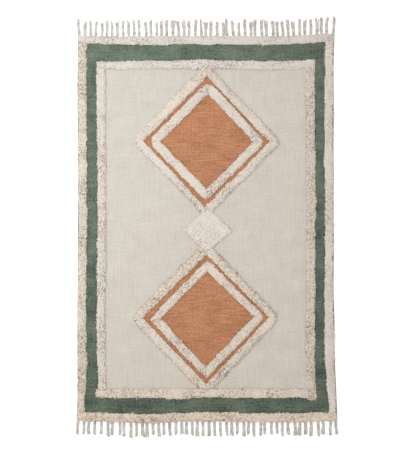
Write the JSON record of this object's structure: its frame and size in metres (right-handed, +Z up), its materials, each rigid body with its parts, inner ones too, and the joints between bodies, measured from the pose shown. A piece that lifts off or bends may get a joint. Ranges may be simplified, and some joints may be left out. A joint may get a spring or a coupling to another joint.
{
  "type": "tufted rug",
  "caption": "Flat rectangular cotton rug with raised cream pile lines, a green border, orange diamonds and a knotted fringe at both ends.",
  "frame": {"origin": "centre of the rug's whole outline, fringes included, at the floor", "axes": "+Y along the rug's length, fringe to fringe; +X across its width; +Z up from the floor"},
  "size_m": [1.2276, 1.959, 0.0123],
  "materials": {
    "ground": "matte flat weave",
    "pile": "matte cotton pile",
    "fringe": "matte knotted yarn"
  },
  "bodies": {
    "root": {"ground_cloth": "ground", "fringe_top": "fringe", "fringe_bottom": "fringe", "outer_line_top": "pile", "outer_line_bottom": "pile", "outer_line_left": "pile", "outer_line_right": "pile", "inner_line_top": "pile", "inner_line_bottom": "pile", "inner_line_left": "pile", "inner_line_right": "pile", "upper_outer_ring_top_right": "pile", "upper_outer_ring_bottom_right": "pile", "upper_outer_ring_bottom_left": "pile", "upper_outer_ring_top_left": "pile", "upper_inner_ring_top_right": "pile", "upper_inner_ring_bottom_right": "pile", "upper_inner_ring_bottom_left": "pile", "upper_inner_ring_top_left": "pile", "lower_outer_ring_top_right": "pile", "lower_outer_ring_bottom_right": "pile", "lower_outer_ring_bottom_left": "pile", "lower_outer_ring_top_left": "pile", "lower_inner_ring_top_right": "pile", "lower_inner_ring_bottom_right": "pile", "lower_inner_ring_bottom_left": "pile", "lower_inner_ring_top_left": "pile", "small_diamond": "pile"}
  },
  "joints": []
}
